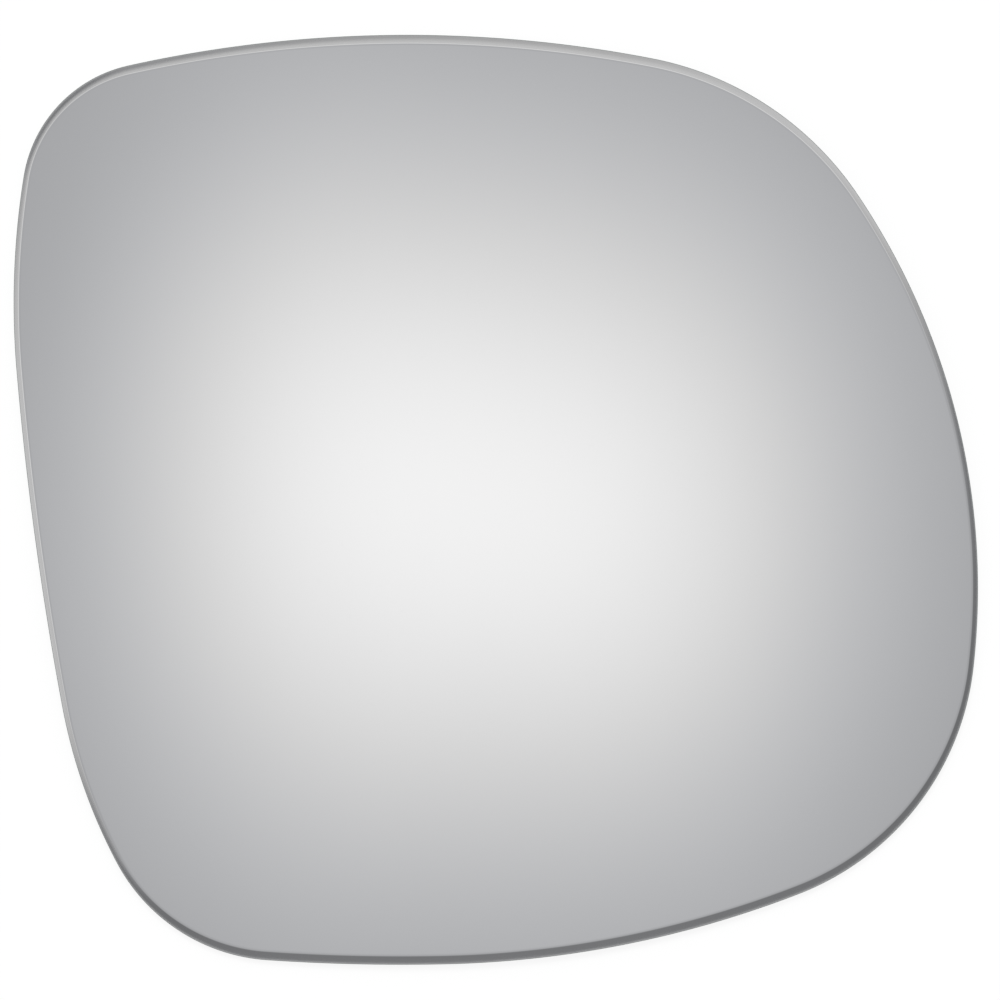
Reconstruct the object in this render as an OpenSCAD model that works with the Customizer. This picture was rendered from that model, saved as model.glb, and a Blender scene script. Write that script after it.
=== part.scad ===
// Convex glass of a car door mirror, one bent sheet with a narrow ground bevel round its face.
// It lies on its hollow back with the mirror face up. For someone who faces the mirror, +X is to
// the right and +Y is up. Millimetres, z = 0 at the resting plane, x = y = 0 at the middle of the
// outline's box.

/* [Sheet] */
// Overall width of the outline
width = 168; // [160:1:176]
// Overall height of the outline
height = 162; // [154:1:170]
// Thickness of the sheet
sheet_t = 2.2; // [2:0.1:3]
// Radius of the convex mirror face
face_r = 1400; // [1000:50:2200]

/* [Ground edge] */
// Width of the bevel where it is narrowest, at the left and right, as seen from the front
edge_side = 0.8; // [0.6:0.05:1.4]
// Width of the bevel where it is widest, at the top and bottom, as seen from the front
edge_top = 1.45; // [0.8:0.05:1.75]
// Turn of these narrow and wide places round the rim, in degrees anticlockwise
edge_turn = 8; // [0:1:20]
// Slope of the bevel, in degrees down from the face
bevel_slope = 32; // [28:1:38]
// Bow of the bevel, the degrees by which it falls more steeply at the rim than at the face
bevel_bow = 12; // [4:1:18]
// Radius of the nose between the bevel and the upright side
nose_r = 0.2; // [0.1:0.05:0.3]
// Size of the small chamfer along the back
back_seam = 0.25; // [0.1:0.05:0.3]

/* [Sides] */
// Radius of the right side
right_r = 123; // [112:1:136]
// Height of the outermost point of the right side
right_at = -15.5; // [-20:0.5:-11]
// Radius of the top side
top_r = 225; // [190:5:270]
// Position along X of the highest point
top_at = -15.5; // [-22:0.5:-10]
// Radius of the left side beside its outermost point
left_r = 140; // [118:1:162]
// Height of the outermost point of the left side
left_at = 34.5; // [31:0.5:38]
// Radius of the nearly straight flank below it
flank_r = 600; // [500:20:720]
// Height at which the flank starts
flank_top = 22.5; // [19:0.5:26]
// Height at which the flank ends
flank_bottom = -36; // [-39:0.5:-33]
// Radius of the hip between the flank and the corner at the bottom left
hip_r = 96; // [88:1:104]
// Radius of the bottom side
bottom_r = 350; // [300:10:400]
// Position along X of the lowest point
bottom_at = -16.5; // [-19:0.5:-14]
// Radius of the rise from the bottom side to the corner at the bottom right
rise_r = 182; // [162:2:206]
// Position along X at which the rise starts
rise_from = -9; // [-11:0.5:-5]

/* [Corners] */
// Corner radius, top right
corner_tr = 56; // [46:1:62]
// Corner radius, top left
corner_tl = 23.5; // [18:0.5:28]
// Corner radius, bottom left
corner_bl = 32; // [27:0.5:37]
// Corner radius, bottom right
corner_br = 48; // [42:1:54]

/* [Hidden] */
// Centre of the bend in plan, the middle of the smallest circle round the outline, so that the
// three furthest points of the rim come to rest together
bend_at = [-2.8, 6.05];
// Greatest distance between a chord of the rim and its arc
rim_sag = 0.02;
// Facets round the ball that forms the face or the hollow back
ball_facets = 256;

function unit(a) = [cos(a), sin(a)];

// Centre of a corner arc of radius r that runs tangent inside two larger circles
function corner_centre(c1, r1, c2, r2, r) =
    let (
        d = norm(c2 - c1),
        e = (c2 - c1) / d,
        a = r1 - r,
        b = r2 - r,
        x = (a * a - b * b + d * d) / (2 * d),
        y = sqrt(a * a - x * x)
    )
    c1 + x * e + y * [-e[1], e[0]];

// Centres of the side arcs. Each of the four main sides passes through its outermost point.
c_right = [width / 2 - right_r, right_at];
c_top = [top_at, height / 2 - top_r];
c_left = [left_r - width / 2, left_at];
c_flank = c_left + (left_r - flank_r) * unit(180 + asin((left_at - flank_top) / left_r));
c_hip = c_flank + (flank_r - hip_r) * unit(180 + asin((c_flank[1] - flank_bottom) / flank_r));
c_bottom = [bottom_at, bottom_r - height / 2];
c_rise = c_bottom + (bottom_r - rise_r) * unit(asin((rise_from - bottom_at) / bottom_r) - 90);

// The whole outline as tangent arcs, anticlockwise from the right side
arcs = [
    [c_right, right_r],
    [corner_centre(c_right, right_r, c_top, top_r, corner_tr), corner_tr],
    [c_top, top_r],
    [corner_centre(c_top, top_r, c_left, left_r, corner_tl), corner_tl],
    [c_left, left_r],
    [c_flank, flank_r],
    [c_hip, hip_r],
    [corner_centre(c_hip, hip_r, c_bottom, bottom_r, corner_bl), corner_bl],
    [c_bottom, bottom_r],
    [c_rise, rise_r],
    [corner_centre(c_rise, rise_r, c_right, right_r, corner_br), corner_br]
];
n_arcs = len(arcs);

// Angle at which arc i hands over to the next one, along the line through both centres
function joint(i) =
    let (
        p = arcs[i],
        q = arcs[(i + 1) % n_arcs],
        v = p[1] > q[1] ? q[0] - p[0] : p[0] - q[0]
    )
    atan2(v[1], v[0]);

// Rim points, each with the angle of its outward direction
rim = [
    for (i = [0:n_arcs - 1])
        let (
            c = arcs[i][0],
            r = arcs[i][1],
            from = joint((i + n_arcs - 1) % n_arcs),
            sweep = (joint(i) - from + 720) % 360,
            steps = ceil(sweep * PI / 180 * r / sqrt(8 * r * rim_sag))
        )
        for (k = [0:steps - 1])
            let (a = from + sweep * k / steps)
            [c + r * unit(a), a]
];
n_rim = len(rim);

// Height over the bend's centre of a ball of radius r, above the plan point p
function ball_height(p, r) = sqrt(r * r - pow(norm(p - bend_at), 2));

// Width of the bevel where the rim faces outward at angle a
function edge_width(a) =
    let (b = a - edge_turn)
    norm([edge_side * cos(b), edge_top * sin(b)]);

// Slopes at the ends of the bevel, and how far in from the rim its nose ends
slope_in = bevel_slope - bevel_bow / 2;
slope_out = bevel_slope + bevel_bow / 2;
nose_in = nose_r * (1 - sin(slope_out));

// Point of a bevel of width w where its slope is a, as the inset from the rim and the height over
// the middle of the sheet
function bevel_point(w, a) =
    let (bow_r = (w - nose_in) / (sin(slope_out) - sin(slope_in)))
    [
        nose_in + bow_r * (sin(slope_out) - sin(a)),
        sheet_t / 2 + bow_r * (cos(a) - cos(slope_in))
    ];

// Point of the nose below that bevel where its slope is a
function nose_point(w, a) =
    bevel_point(w, slope_out) + nose_r * [sin(slope_out) - sin(a), cos(a) - cos(slope_out)];

// Section of the edge under a bevel of width w, from the back to the face. Its first and last
// steps run on as far again past the back and past the face.
back_edge = [back_seam, -sheet_t / 2];
side_foot = [0, back_seam - sheet_t / 2];
function section(w) = [
    2 * back_edge - side_foot,
    side_foot,
    nose_point(w, 90),
    nose_point(w, (90 + slope_out) / 2),
    bevel_point(w, slope_out),
    bevel_point(w, bevel_slope),
    [2 * w, sheet_t] - bevel_point(w, bevel_slope)
];

// Point in space at inset s[0] and height s[1] behind the rim point p
function on_sheet(p, s) =
    let (q = p[0] - s[0] * unit(p[1]))
    [q[0], q[1], ball_height(q, face_r - sheet_t / 2 + s[1])];

sections = [for (p = rim) section(edge_width(p[1]))];
rings = [
    for (j = [0:len(sections[0]) - 1])
        [for (i = [0:n_rim - 1]) on_sheet(rim[i], sections[i][j])]
];
back_ring = [for (p = rim) on_sheet(p, back_edge)];

// Height of the bend's centre, which brings the lowest point of the back down to z = 0
bend_z = -round(100 * min([for (p = back_ring) p[2]])) / 100;

// Plug with the outline and the ground edge, pointed above the face and below the back
module edge_plug() {
    n_rings = len(rings);
    skin = [for (r = rings) for (p = r) [p[0], p[1], p[2] + bend_z]];
    foot = [bend_at[0], bend_at[1], -8];
    peak = [bend_at[0], bend_at[1], bend_z + face_r + 8];
    foot_i = len(skin);
    last = (n_rings - 1) * n_rim;
    polyhedron(
        points = concat(skin, [foot, peak]),
        faces = concat(
            [for (j = [0:n_rings - 2]) for (i = [0:n_rim - 1])
                let (m = (i + 1) % n_rim, b = j * n_rim)
                [b + i, b + n_rim + m, b + m]],
            [for (j = [0:n_rings - 2]) for (i = [0:n_rim - 1])
                let (m = (i + 1) % n_rim, b = j * n_rim)
                [b + i, b + n_rim + i, b + n_rim + m]],
            [for (i = [0:n_rim - 1]) [foot_i, i, (i + 1) % n_rim]],
            [for (i = [0:n_rim - 1]) [foot_i + 1, last + (i + 1) % n_rim, last + i]]
        ),
        convexity = 4
    );
}

// Ball about the bend's centre, turned so that its poles lie far to the sides of the sheet
module bend_ball(r) {
    translate([bend_at[0], bend_at[1], bend_z])
        rotate([90, 0, 0])
            sphere(r, $fn = ball_facets);
}

module mirror_glass() {
    color([0.72, 0.73, 0.74])
        difference() {
            intersection() {
                edge_plug();
                bend_ball(face_r);
            }
            bend_ball(face_r - sheet_t);
        }
}

mirror_glass();
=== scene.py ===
import math

import bpy
import numpy as np
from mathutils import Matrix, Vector


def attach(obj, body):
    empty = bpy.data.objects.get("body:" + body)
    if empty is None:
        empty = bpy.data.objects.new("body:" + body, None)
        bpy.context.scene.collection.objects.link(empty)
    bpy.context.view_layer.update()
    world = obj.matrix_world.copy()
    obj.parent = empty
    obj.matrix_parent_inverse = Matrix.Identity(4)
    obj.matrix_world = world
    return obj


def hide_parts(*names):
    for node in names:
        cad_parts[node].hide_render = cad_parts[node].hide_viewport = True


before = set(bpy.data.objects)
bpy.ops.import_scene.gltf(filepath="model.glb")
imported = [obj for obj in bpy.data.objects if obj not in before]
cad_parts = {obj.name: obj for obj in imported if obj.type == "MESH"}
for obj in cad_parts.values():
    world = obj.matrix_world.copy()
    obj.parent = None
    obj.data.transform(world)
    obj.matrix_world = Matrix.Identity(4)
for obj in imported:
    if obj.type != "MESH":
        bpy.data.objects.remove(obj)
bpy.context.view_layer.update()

MM = 0.001

# The sheet, with the sizes of the part's source
WIDTH = 168 * MM
HEIGHT = 162 * MM
SHEET_T = 2.2 * MM
FACE_R = 1400 * MM
BEND_AT = np.array([-2.8, 6.05]) * MM

# The ground edge
EDGE_SIDE = 0.8 * MM
EDGE_TOP = 1.45 * MM
EDGE_TURN = math.radians(8)
SLOPE_IN = math.radians(26)
SLOPE_OUT = math.radians(38)
NOSE_R = 0.2 * MM
BACK_SEAM = 0.25 * MM
NOSE_IN = NOSE_R * (1 - math.sin(SLOPE_OUT))

# Side arcs and corners of the outline
RIGHT_R, RIGHT_AT = 123 * MM, -15.5 * MM
TOP_R, TOP_AT = 225 * MM, -15.5 * MM
LEFT_R, LEFT_AT = 140 * MM, 34.5 * MM
FLANK_R, FLANK_TOP, FLANK_BOTTOM = 600 * MM, 22.5 * MM, -36 * MM
HIP_R = 96 * MM
BOTTOM_R, BOTTOM_AT = 350 * MM, -16.5 * MM
RISE_R, RISE_FROM = 182 * MM, -9 * MM
CORNER_TR, CORNER_TL, CORNER_BL, CORNER_BR = 56 * MM, 23.5 * MM, 32 * MM, 48 * MM

# Fine roundings that only the finished surface has: between face and bevel, and along the seam
ARRIS = 0.14 * MM
SEAM_ROUND = 0.06 * MM

# How finely the mesh is cut, along the rim and in each part of the edge's section
RIM_STEP = 1.0 * MM
ARRIS_STEPS = 6
BEVEL_STEPS = 8
NOSE_STEPS = 6
SIDE_CUTS = (0.06, 0.5, 0.94)
SEAM_STEPS = 3
HEEL_STEPS = 4

# Rings of the face and the back, as shares of the way from the middle to the edge
SHEET_RINGS = np.concatenate([np.linspace(0.04, 0.96, 28), [0.98, 0.99, 0.996]])

# The photograph's framing: how wide a strip of the sheet it takes in, and round which point
FRAME_WIDTH = 174.27 * MM
FRAME_MIDDLE = (0.72 * MM, -0.02 * MM)
CAMERA_HEIGHT = 2.0
RIM_HEIGHT = 1.6 * MM

# The camera's sensor, in millimetres as Blender takes it, and how near and how far it sees
SENSOR_WIDTH = 36.0
NEAREST, FURTHEST = 0.01, 50


def place_camera():
    """Camera straight above the sheet, framed on the height of its rim."""
    data = bpy.data.cameras.new("photo_camera")
    data.sensor_width = SENSOR_WIDTH
    data.lens = SENSOR_WIDTH * (CAMERA_HEIGHT - RIM_HEIGHT) / FRAME_WIDTH
    data.clip_start, data.clip_end = NEAREST, FURTHEST
    camera = bpy.data.objects.new("photo_camera", data)
    camera.location = (FRAME_MIDDLE[0], FRAME_MIDDLE[1], CAMERA_HEIGHT)
    bpy.context.scene.collection.objects.link(camera)
    bpy.context.scene.camera = camera


place_camera()


# Outline of the sheet

def unit(angle):
    return np.array([math.cos(angle), math.sin(angle)])


def corner_centre(c1, r1, c2, r2, r):
    """Centre of a corner arc of radius r that runs tangent inside two larger circles."""
    d = np.linalg.norm(c2 - c1)
    e = (c2 - c1) / d
    x = ((r1 - r) ** 2 - (r2 - r) ** 2 + d * d) / (2 * d)
    y = math.sqrt((r1 - r) ** 2 - x * x)
    return c1 + x * e + y * np.array([-e[1], e[0]])


def outline_arcs():
    """Centre, radius, start angle and sweep of each tangent arc, anticlockwise from the right."""
    right = np.array([WIDTH / 2 - RIGHT_R, RIGHT_AT])
    top = np.array([TOP_AT, HEIGHT / 2 - TOP_R])
    left = np.array([LEFT_R - WIDTH / 2, LEFT_AT])
    flank_from = math.pi + math.asin((LEFT_AT - FLANK_TOP) / LEFT_R)
    flank = left + (LEFT_R - FLANK_R) * unit(flank_from)
    hip_from = math.pi + math.asin((flank[1] - FLANK_BOTTOM) / FLANK_R)
    hip = flank + (FLANK_R - HIP_R) * unit(hip_from)
    bottom = np.array([BOTTOM_AT, BOTTOM_R - HEIGHT / 2])
    rise_from = math.asin((RISE_FROM - BOTTOM_AT) / BOTTOM_R) - math.pi / 2
    rise = bottom + (BOTTOM_R - RISE_R) * unit(rise_from)
    circles = [
        (right, RIGHT_R),
        (corner_centre(right, RIGHT_R, top, TOP_R, CORNER_TR), CORNER_TR),
        (top, TOP_R),
        (corner_centre(top, TOP_R, left, LEFT_R, CORNER_TL), CORNER_TL),
        (left, LEFT_R),
        (flank, FLANK_R),
        (hip, HIP_R),
        (corner_centre(hip, HIP_R, bottom, BOTTOM_R, CORNER_BL), CORNER_BL),
        (bottom, BOTTOM_R),
        (rise, RISE_R),
        (corner_centre(rise, RISE_R, right, RIGHT_R, CORNER_BR), CORNER_BR),
    ]
    joints = []
    for i, (c, r) in enumerate(circles):
        c2, r2 = circles[(i + 1) % len(circles)]
        v = c2 - c if r > r2 else c - c2
        joints.append(math.atan2(v[1], v[0]))
    return [
        (c, r, joints[i - 1], (joints[i] - joints[i - 1]) % (2 * math.pi))
        for i, (c, r) in enumerate(circles)
    ]


def rim_stations():
    """Points round the rim, the outward direction at each, how far along the rim it lies, and the
    rim's length."""
    points, outward, run = [], [], []
    length = 0.0
    for centre, radius, start, sweep in outline_arcs():
        steps = max(3, round(radius * sweep / RIM_STEP))
        for k in range(steps):
            angle = start + sweep * k / steps
            points.append(centre + radius * unit(angle))
            outward.append(unit(angle))
            run.append(length + radius * sweep * k / steps)
        length += radius * sweep
    return np.array(points), np.array(outward), np.array(run), length


# Section of the edge, as insets from the rim and heights over the middle of the sheet. Each point
# is worked out for all the stations round the rim at once, since the bevel's width changes.

FACE, BEVEL, SIDE, BACK = range(4)


def bow_radius(width):
    return (width - NOSE_IN) / (math.sin(SLOPE_OUT) - math.sin(SLOPE_IN))


def bevel_point(width, slope):
    """Point of a bevel of this width at which it has this slope."""
    bow = bow_radius(width)
    return np.array([
        NOSE_IN + bow * (math.sin(SLOPE_OUT) - np.sin(slope)),
        SHEET_T / 2 + bow * (np.cos(slope) - math.cos(SLOPE_IN)),
    ])


def rounding(a, corner, b, steps):
    """Points of a soft bend from a to b that stays inside the corner between them."""
    a, corner, b = (np.array(p) for p in np.broadcast_arrays(a, corner, b))
    ts = np.linspace(0, 1, steps + 1)
    return [(1 - t) ** 2 * a + 2 * t * (1 - t) * corner + t * t * b for t in ts]


def edge_section(width):
    """Points of the section from the face to the back, and the finish of the strip after each."""
    half = SHEET_T / 2

    def column(inset, height):
        return np.array([np.full_like(width, inset), np.full_like(width, height)])

    points, finish = [], []

    def run_on(new, kind):
        points.extend(new)
        finish.extend([kind] * len(new))

    # the arris, half of it face and half bevel
    first = np.arcsin(math.sin(SLOPE_IN) + ARRIS / bow_radius(width))
    end = bevel_point(width, first)
    corner = np.array([end[0] + (half - end[1]) / np.tan(first), np.full_like(width, half)])
    arris = rounding(corner + [[ARRIS], [0.0]], corner, end, ARRIS_STEPS)
    run_on(arris[:ARRIS_STEPS // 2], FACE)
    run_on(arris[ARRIS_STEPS // 2:], BEVEL)

    # the bevel and its nose
    run_on([bevel_point(width, first + (SLOPE_OUT - first) * k / BEVEL_STEPS)
            for k in range(1, BEVEL_STEPS)], BEVEL)
    foot = bevel_point(width, SLOPE_OUT)
    for k in range(NOSE_STEPS + 1):
        slope = SLOPE_OUT + (math.pi / 2 - SLOPE_OUT) * k / NOSE_STEPS
        step = [[math.sin(SLOPE_OUT) - math.sin(slope)], [math.cos(slope) - math.cos(SLOPE_OUT)]]
        run_on([foot + NOSE_R * np.array(step)], SIDE)

    # the upright side
    top = points[-1]
    low = column(0.0, BACK_SEAM - half + SEAM_ROUND)
    run_on([top + (low - top) * t for t in SIDE_CUTS], SIDE)

    # the seam along the back, with a rounding above it and one at its heel
    s = SEAM_ROUND * math.sqrt(0.5)
    run_on(rounding(low, column(0.0, BACK_SEAM - half),
                    column(s, BACK_SEAM - half - s), SEAM_STEPS), SIDE)
    heel = rounding(column(BACK_SEAM - s, s - half), column(BACK_SEAM, -half),
                    column(BACK_SEAM + SEAM_ROUND, -half), HEEL_STEPS)
    run_on(heel[:HEEL_STEPS // 2], SIDE)
    run_on(heel[HEEL_STEPS // 2:], BACK)
    return points, finish


def make_sheet():
    """The whole sheet as one closed mesh: rings from the face's middle over the edge to the
    middle of the back."""
    rim, outward, run, length = rim_stations()
    n_rim = len(rim)
    across, along = outward @ unit(EDGE_TURN), outward @ unit(EDGE_TURN + math.pi / 2)
    width = np.hypot(EDGE_SIDE * across, EDGE_TOP * along)
    half = SHEET_T / 2
    rings, finish = [], []

    def add_ring(plan, height, kind):
        """One ring of points at a height in the sheet, over the centre of the bend."""
        reach = ((plan - BEND_AT) ** 2).sum(axis=1)
        z = np.sqrt((FACE_R - half + height) ** 2 - reach)
        rings.append(np.column_stack([plan, z]))
        finish.append(kind)

    section, kinds = edge_section(width)
    face_edge = rim - section[0][0][:, None] * outward
    back_edge = rim - section[-1][0][:, None] * outward
    for share in SHEET_RINGS:
        add_ring(BEND_AT + share * (face_edge - BEND_AT), half, FACE)
    for (inset, height), kind in zip(section, kinds):
        add_ring(rim - inset[:, None] * outward, height, kind)
    for share in SHEET_RINGS[::-1]:
        add_ring(BEND_AT + share * (back_edge - BEND_AT), -half, BACK)

    n_rings = len(rings)
    face_middle, back_middle = n_rings * n_rim, n_rings * n_rim + 1
    vertices = np.vstack(rings + [
        np.array([[*BEND_AT, FACE_R]]),
        np.array([[*BEND_AT, FACE_R - SHEET_T]]),
    ])
    vertices[:, 2] -= vertices[:, 2].min()

    faces, finishes = [], []
    for j in range(n_rings - 1):
        here, onward = j * n_rim, (j + 1) * n_rim
        for i in range(n_rim):
            k = (i + 1) % n_rim
            faces.append((here + i, onward + i, onward + k, here + k))
            finishes.append(finish[j])
    last = (n_rings - 1) * n_rim
    for i in range(n_rim):
        k = (i + 1) % n_rim
        faces.append((face_middle, i, k))
        finishes.append(FACE)
        faces.append((back_middle, last + k, last + i))
        finishes.append(BACK)

    mesh = bpy.data.meshes.new("door_mirror_glass")
    mesh.from_pydata(vertices.tolist(), [], faces)
    mesh.polygons.foreach_set("material_index", finishes)
    mesh.polygons.foreach_set("use_smooth", [True] * len(faces))

    # where each point lies along the rim and over the edge, for the marks of the grinding wheel
    wrap = length / (2 * math.pi)
    over = 0.0
    marks = np.zeros((len(vertices), 3))
    for j in range(n_rings):
        if j > 0:
            over += np.linalg.norm(rings[j] - rings[j - 1], axis=1).mean()
        rows = slice(j * n_rim, (j + 1) * n_rim)
        marks[rows, 0] = wrap * np.cos(run / wrap)
        marks[rows, 1] = wrap * np.sin(run / wrap)
        marks[rows, 2] = over
    wheel = mesh.attributes.new("wheel_run", "FLOAT_VECTOR", "POINT")
    wheel.data.foreach_set("vector", marks.ravel())
    mesh.validate()
    mesh.update()

    sheet = bpy.data.objects.new("door_mirror_glass", mesh)
    bpy.context.scene.collection.objects.link(sheet)
    return sheet


# Small helpers for node trees

def add(tree, kind, values=None, **settings):
    """Adds a node, with its input values by name or number and its settings by name."""
    node = tree.nodes.new(kind)
    for key, value in settings.items():
        setattr(node, key, value)
    for key, value in (values or {}).items():
        if isinstance(value, bpy.types.NodeSocket):
            tree.links.new(value, node.inputs[key])
        else:
            node.inputs[key].default_value = value
    return node


def calc(tree, operation, a, b=0.0):
    return add(tree, "ShaderNodeMath", {0: a, 1: b}, operation=operation).outputs[0]


def smooth_range(tree, value, low, high, out_low=0.0, out_high=1.0):
    return add(tree, "ShaderNodeMapRange", {
        "Value": value, "From Min": low, "From Max": high, "To Min": out_low, "To Max": out_high,
    }, interpolation_type="SMOOTHSTEP").outputs["Result"]


def blend_colours(tree, factor, a, b):
    mix = add(tree, "ShaderNodeMix", {"Factor": factor}, data_type="RGBA")
    colours = [s for s in mix.inputs if s.type == "RGBA"]
    colours[0].default_value, colours[1].default_value = (*a, 1.0), (*b, 1.0)
    return mix.outputs[2]


def grey(level):
    return (level, level, level, 1.0)


def new_group(name, inputs, outputs):
    group = bpy.data.node_groups.new(name, "ShaderNodeTree")
    for label, value in inputs.items():
        made = group.interface.new_socket(name=label, in_out="INPUT", socket_type="NodeSocketFloat")
        made.default_value = value
    for label in outputs:
        group.interface.new_socket(name=label, in_out="OUTPUT", socket_type="NodeSocketFloat")
    given, out = group.nodes.new("NodeGroupInput"), group.nodes.new("NodeGroupOutput")
    return group, given.outputs, out.inputs


def place_group(tree, group, values):
    return add(tree, "ShaderNodeGroup", values, node_tree=group).outputs


def new_material(name):
    material = bpy.data.materials.new(name)
    material.use_nodes = True
    tree = material.node_tree
    return material, tree, tree.nodes["Principled BSDF"].inputs


def object_place(tree):
    return tree.nodes.new("ShaderNodeTexCoord").outputs["Object"]


def raise_surface(tree, shader, height, strength, depth):
    """Bump of a finish, with its depth in metres."""
    bump = add(tree, "ShaderNodeBump", {"Strength": strength, "Distance": depth, "Height": height})
    tree.links.new(bump.outputs[0], shader["Normal"])


# Effects that several finishes share

# How the smears are drawn out along the sheet's height, how far the noise under them is turned, and
# the parts of the noise that show as smears and as specks
SMEAR_STRETCH = (1.0, 0.35, 1.0)
SMEAR_TURN = 0.6
SMEAR_SPAN = (0.35, 0.75)
SPECK_SPAN = (0.68, 0.8)


def wiping_haze():
    """Soft smears and fine specks that a cleaning cloth leaves."""
    group, given, out = new_group(
        "wiping_haze", {"Smear Scale": 20.0, "Speck Scale": 900.0}, ["Smear", "Specks"])
    where = object_place(group)
    along = add(group, "ShaderNodeMapping",
                {"Vector": where, "Rotation": (0, 0, SMEAR_TURN), "Scale": SMEAR_STRETCH})
    smear = add(group, "ShaderNodeTexNoise", {
        "Vector": along.outputs[0], "Scale": given["Smear Scale"], "Detail": 5.0,
        "Roughness": 0.6})
    specks = add(group, "ShaderNodeTexNoise",
                 {"Vector": where, "Scale": given["Speck Scale"], "Detail": 1.0})
    group.links.new(smooth_range(group, smear.outputs["Fac"], *SMEAR_SPAN), out["Smear"])
    group.links.new(smooth_range(group, specks.outputs["Fac"], *SPECK_SPAN), out["Specks"])
    return group


def bending_wave():
    """The long shallow waves that bending leaves in the sheet, the same on its face and back."""
    group, given, out = new_group("bending_wave", {"Wave Scale": 12.0}, ["Height"])
    wave = add(group, "ShaderNodeTexNoise", {
        "Vector": object_place(group), "Scale": given["Wave Scale"], "Detail": 1.0,
        "Roughness": 0.4})
    group.links.new(wave.outputs["Fac"], out["Height"])
    return group


def wheel_marks():
    """Fine lines that the grinding wheel leaves along the rim, and the grit between them."""
    group, given, out = new_group(
        "wheel_marks", {"Lines Across": 26000.0, "Lines Along": 300.0, "Grit Scale": 9000.0},
        ["Lines", "Grit"])
    run = add(group, "ShaderNodeAttribute", attribute_name="wheel_run").outputs["Vector"]
    stretch = add(group, "ShaderNodeCombineXYZ",
                  {0: given["Lines Along"], 1: given["Lines Along"], 2: given["Lines Across"]})
    drawn = add(group, "ShaderNodeVectorMath", {0: run, 1: stretch.outputs[0]},
                operation="MULTIPLY")
    lines = add(group, "ShaderNodeTexNoise",
                {"Vector": drawn.outputs[0], "Scale": 1.0, "Detail": 3.0})
    grit = add(group, "ShaderNodeTexNoise",
               {"Vector": run, "Scale": given["Grit Scale"], "Detail": 2.0})
    group.links.new(lines.outputs["Fac"], out["Lines"])
    group.links.new(grit.outputs["Fac"], out["Grit"])
    return group


# Finishes

GLASS_IOR = 1.52

# Colours of each finish, from its plain places to its marked ones
FACE_COLOURS = (0.806, 0.810, 0.814), (0.798, 0.802, 0.807)
BEVEL_COLOURS = (0.57, 0.574, 0.579), (0.63, 0.633, 0.637)
SIDE_COLOURS = (0.080, 0.104, 0.096), (0.142, 0.174, 0.161)
PAINT_COLOURS = (0.056, 0.059, 0.064), (0.100, 0.103, 0.107)

# Roughness of each finish, from its plain places to its marked ones
COAT_ROUGH = 0.015
FACE_ROUGH = (0.022, 0.036)
BEVEL_ROUGH = (0.10, 0.17)
SIDE_ROUGH = (0.42, 0.6)
PAINT_ROUGH = (0.36, 0.54)

# What specks add to the face's roughness and to the paint's dust, and grit to the ground glass
FACE_SPECKS = 0.05
PAINT_DUST = 0.35
BEVEL_GRIT = 0.6
SIDE_GRIT = 1.4

# Part of the wheel's lines over which the ground glass goes from smooth to rough
LINE_SPAN = (0.25, 0.75)

WAVE_SCALE = 14.0
PEEL_SCALE = 700.0


def silvered_face(haze, wave):
    """Bright reflecting layer under the clear, polished surface."""
    material, tree, shader = new_material("silvered_face")
    shader["Metallic"].default_value = 1.0
    shader["Coat Weight"].default_value = 1.0
    shader["Coat Roughness"].default_value = COAT_ROUGH
    shader["Coat IOR"].default_value = GLASS_IOR

    cloth = place_group(tree, haze, {"Smear Scale": 22.0, "Speck Scale": 1100.0})
    tree.links.new(blend_colours(tree, cloth["Smear"], *FACE_COLOURS), shader["Base Color"])
    smeared = smooth_range(tree, cloth["Smear"], 0.0, 1.0, *FACE_ROUGH)
    specks = calc(tree, "MULTIPLY", cloth["Specks"], FACE_SPECKS)
    tree.links.new(calc(tree, "ADD", smeared, specks), shader["Roughness"])

    bend = place_group(tree, wave, {"Wave Scale": WAVE_SCALE})
    raise_surface(tree, shader, bend["Height"], strength=0.02, depth=0.5 * MM)
    return material


def grind_surface(tree, shader, wheel, rough, grit_share, strength, depth):
    """Roughness and bump of ground glass, from the wheel's lines and the grit between them."""
    tree.links.new(smooth_range(tree, wheel["Lines"], *LINE_SPAN, *rough), shader["Roughness"])
    grit = calc(tree, "MULTIPLY", wheel["Grit"], grit_share)
    raise_surface(tree, shader, calc(tree, "ADD", wheel["Lines"], grit), strength, depth)


def satin_bevel(marks):
    """Ground bevel with the reflecting layer behind it, satin from the wheel."""
    material, tree, shader = new_material("satin_bevel")
    shader["Metallic"].default_value = 1.0
    wheel = place_group(tree, marks, {"Lines Across": 26000.0, "Lines Along": 260.0})
    tree.links.new(blend_colours(tree, wheel["Lines"], *BEVEL_COLOURS), shader["Base Color"])
    grind_surface(tree, shader, wheel, BEVEL_ROUGH, BEVEL_GRIT, strength=0.2, depth=0.02 * MM)
    return material


def bare_side(marks):
    """Upright side of bare ground glass, grey-green and matt."""
    material, tree, shader = new_material("bare_side")
    shader["IOR"].default_value = GLASS_IOR
    shader["Specular IOR Level"].default_value = 0.15
    wheel = place_group(
        tree, marks, {"Lines Across": 18000.0, "Lines Along": 420.0, "Grit Scale": 7000.0})
    tree.links.new(blend_colours(tree, wheel["Grit"], *SIDE_COLOURS), shader["Base Color"])
    grind_surface(tree, shader, wheel, SIDE_ROUGH, SIDE_GRIT, strength=0.4, depth=0.03 * MM)
    return material


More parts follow.
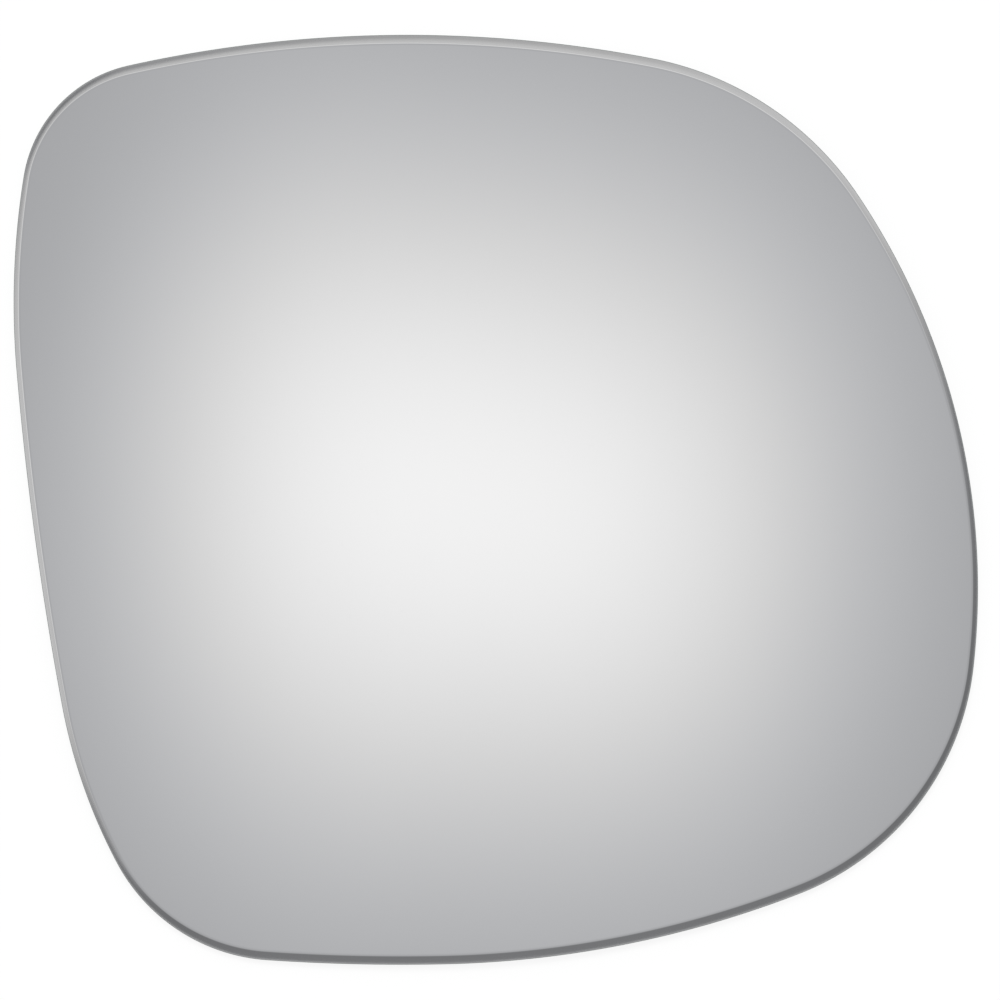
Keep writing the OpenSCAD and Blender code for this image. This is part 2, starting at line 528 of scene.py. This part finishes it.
def back_paint(haze, wave):
    """Dark protective paint over the reflecting layer, with a fine orange peel."""
    material, tree, shader = new_material("back_paint")
    cloth = place_group(tree, haze, {"Smear Scale": 16.0, "Speck Scale": 700.0})
    dust = calc(tree, "MULTIPLY", cloth["Specks"], PAINT_DUST)
    dulled = calc(tree, "ADD", cloth["Smear"], dust)
    tree.links.new(blend_colours(tree, dulled, *PAINT_COLOURS), shader["Base Color"])
    tree.links.new(smooth_range(tree, cloth["Smear"], 0.0, 1.0, *PAINT_ROUGH), shader["Roughness"])
    peel = add(tree, "ShaderNodeTexNoise",
               {"Vector": object_place(tree), "Scale": PEEL_SCALE, "Detail": 2.0})
    bend = place_group(tree, wave, {"Wave Scale": WAVE_SCALE})
    height = calc(tree, "ADD", peel.outputs["Fac"], bend["Height"])
    raise_surface(tree, shader, height, strength=0.5, depth=0.25 * MM)
    return material


sheet = make_sheet()
haze, wave, marks = wiping_haze(), bending_wave(), wheel_marks()
finishes = (silvered_face(haze, wave), satin_bevel(marks), bare_side(marks), back_paint(haze, wave))
for finish in finishes:
    sheet.data.materials.append(finish)
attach(sheet, "root")
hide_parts("mirror_glass")


# Studio

# In the sky, "height" is how far a direction points up and "lean" how far it points sideways, each
# from 0 to 1. A pair of them says where something starts and where it is full. Light from one side
# is given as its azimuth in degrees, how narrow it is, and its strength.

# Two soft boxes overhead, which the face mirrors: middle and spread as directions, and strength
SOFT_BOXES = [
    ((0.0458, -0.0122), (0.0861, 0.1168), 0.5325),
    ((-0.0582, -0.0034), (0.0757, 0.1243), 0.4828),
]
BETWEEN_BOXES = 0.4099

# The even sky round them, a little brighter on one side, and the lean over which it takes over
LOW_SKY = 0.243
SKY_GLOW = (275, 6, 0.05)
SKY_LEAN = (0.17, 0.52)

# A pale wall on one half of the sky, brighter at two places: its middle, how far its ends reach
# round from there, as cosines, and the heights over which its foot fades
WALL_TONE = 0.48
WALL_GLOWS = [(75, 3, 0.15), (186, 8, 0.12)]
WALL_MIDDLE = 112.5
WALL_ENDS = (-0.55, 0.35)
WALL_FOOT = (0.25, 0.46)

# Two strips of light below the wall, and how far round they reach
STRIPS = [(44, 1.6, 0.605), (188, 12, 0.61)]
STRIP_ENDS = (-0.20, 0.18)

# A pale horizon all round, behind the wall and the strips
HORIZON_TONE = 0.38
HORIZON_HEIGHTS = (0.23, 0.08)

# The lean over which wall, strips and horizon come in, and a weak spill of the strips above them
SIDES_LEAN = (0.15, 0.49)
SPILL = 0.13
SPILL_STARTS, SPILL_ENDS = (0.155, 0.23), (0.4, 0.25)

# A trace of blue in the darker light and of warmth in the brighter, and the levels between them
DARK_TINT, BRIGHT_TINT = (0.992, 0.998, 1.024), (1.006, 1.0, 0.997)
TINT_LEVELS = (0.08, 0.44)

# The lamp that gives the shadow: its strength, how wide it is, and where it stands
KEY_STRENGTH = 1.25
KEY_WIDTH = math.radians(25)
KEY_AZIMUTH, KEY_HEIGHT = math.radians(97), math.radians(60)

# The floor: half its width and its colour, and for the camera its own white and the part of it
# that takes the sheet's shadow
FLOOR_REACH = 6.0
FLOOR_COLOUR = 0.8
FLOOR_WHITE = 0.883
FLOOR_SHADE = 0.14


def light_studio():
    """Lights the sheet from the sky, which the camera itself sees as plain white."""
    world = bpy.data.worlds.new("studio")
    world.use_nodes = True
    bpy.context.scene.world = world
    tree = world.node_tree
    background = tree.nodes["Background"]
    direction = tree.nodes.new("ShaderNodeTexCoord").outputs["Generated"]
    east, north, height = add(tree, "ShaderNodeSeparateXYZ", {"Vector": direction}).outputs

    def plus(a, b):
        return calc(tree, "ADD", a, b)

    def times(a, b):
        return calc(tree, "MULTIPLY", a, b)

    def rest_of(share):
        return calc(tree, "SUBTRACT", 1.0, share)

    def soft_box(middle, spread, strength):
        u = calc(tree, "DIVIDE", calc(tree, "SUBTRACT", east, middle[0]), spread[0])
        v = calc(tree, "DIVIDE", calc(tree, "SUBTRACT", north, middle[1]), spread[1])
        square = plus(times(u, u), times(v, v))
        return times(calc(tree, "EXPONENT", times(square, -1.0)), strength)

    lean = calc(tree, "SQRT", plus(times(east, east), times(north, north)))
    safe_lean = calc(tree, "MAXIMUM", lean, 1e-4)

    def towards(azimuth):
        a = math.radians(azimuth)
        flat = plus(times(east, math.cos(a)), times(north, math.sin(a)))
        return calc(tree, "DIVIDE", flat, safe_lean)

    def side_light(azimuth, narrowness, strength):
        share = calc(tree, "MAXIMUM", towards(azimuth), 0.0)
        return times(calc(tree, "POWER", share, narrowness), strength)

    boxes = plus(soft_box(*SOFT_BOXES[0]), soft_box(*SOFT_BOXES[1]))

    # the wall, and below its foot the strips
    wall_side = towards(WALL_MIDDLE)
    above_foot = smooth_range(tree, height, *WALL_FOOT)
    wall_glows = plus(side_light(*WALL_GLOWS[0]), side_light(*WALL_GLOWS[1]))
    wall = times(plus(wall_glows, WALL_TONE), smooth_range(tree, wall_side, *WALL_ENDS))
    strips = times(plus(side_light(*STRIPS[0]), side_light(*STRIPS[1])),
                   smooth_range(tree, wall_side, *STRIP_ENDS))
    wall_and_strips = plus(times(wall, above_foot), times(strips, rest_of(above_foot)))

    # the horizon behind them, and the spill above them
    horizon = smooth_range(tree, height, *HORIZON_HEIGHTS, 0.0, HORIZON_TONE)
    spill = times(smooth_range(tree, lean, *SPILL_STARTS),
                  smooth_range(tree, lean, *SPILL_ENDS, 0.0, SPILL))
    sides = plus(times(calc(tree, "MAXIMUM", wall_and_strips, horizon),
                       smooth_range(tree, lean, *SIDES_LEAN)),
                 times(strips, spill))

    # the even light between the boxes, and the sky round them
    around = smooth_range(tree, lean, *SKY_LEAN)
    sky = times(plus(side_light(*SKY_GLOW), LOW_SKY), around)
    between = times(rest_of(around), BETWEEN_BOXES)
    light = plus(plus(boxes, sides), plus(sky, between))

    bright = smooth_range(tree, plus(boxes, sides), *TINT_LEVELS)
    tint = blend_colours(tree, bright, DARK_TINT, BRIGHT_TINT)
    tree.links.new(tint, background.inputs["Color"])

    seen = tree.nodes.new("ShaderNodeLightPath").outputs["Is Camera Ray"]
    strength = add(tree, "ShaderNodeMix", {"Factor": seen}, data_type="FLOAT")
    numbers = [s for s in strength.inputs if s.type == "VALUE" and s.name in ("A", "B")]
    tree.links.new(light, numbers[0])
    numbers[1].default_value = 1.0
    tree.links.new(strength.outputs[0], background.inputs["Strength"])


def hang_key():
    """One soft lamp from above, which gives the shadow below the sheet."""
    data = bpy.data.lights.new("key_light", "SUN")
    data.energy = KEY_STRENGTH
    data.angle = KEY_WIDTH
    lamp = bpy.data.objects.new("key_light", data)
    towards = Vector((math.cos(KEY_AZIMUTH) * math.cos(KEY_HEIGHT),
                      math.sin(KEY_AZIMUTH) * math.cos(KEY_HEIGHT), math.sin(KEY_HEIGHT)))
    lamp.rotation_euler = towards.to_track_quat("Z", "Y").to_euler()
    lamp.visible_glossy = False
    bpy.context.scene.collection.objects.link(lamp)


def lay_floor():
    """Pale floor, which the camera and reflections see as white with the sheet's shadow on it."""
    mesh = bpy.data.meshes.new("studio_floor")
    mesh.from_pydata([(x * FLOOR_REACH, y * FLOOR_REACH, 0)
                      for x, y in ((-1, -1), (1, -1), (1, 1), (-1, 1))], [], [(0, 1, 2, 3)])
    floor = bpy.data.objects.new("studio_floor", mesh)
    bpy.context.scene.collection.objects.link(floor)
    material = bpy.data.materials.new("pale_floor")
    material.use_nodes = True
    tree = material.node_tree
    tree.nodes.remove(tree.nodes["Principled BSDF"])
    plain = add(tree, "ShaderNodeBsdfDiffuse", {"Color": grey(FLOOR_COLOUR)})
    shade = add(tree, "ShaderNodeBsdfDiffuse", {"Color": grey(FLOOR_SHADE)})
    white = add(tree, "ShaderNodeEmission", {"Color": grey(1.0), "Strength": FLOOR_WHITE})
    shown = add(tree, "ShaderNodeAddShader", {0: shade.outputs[0], 1: white.outputs[0]})
    path = tree.nodes.new("ShaderNodeLightPath").outputs
    seen = calc(tree, "MAXIMUM", path["Is Camera Ray"],
                calc(tree, "MAXIMUM", path["Is Glossy Ray"], path["Is Transmission Ray"]))
    mix = add(tree, "ShaderNodeMixShader", {0: seen, 1: plain.outputs[0], 2: shown.outputs[0]})
    tree.links.new(mix.outputs[0], tree.nodes["Material Output"].inputs["Surface"])
    mesh.materials.append(material)


light_studio()
hang_key()
lay_floor()

bpy.context.scene.view_settings.view_transform = "Standard"
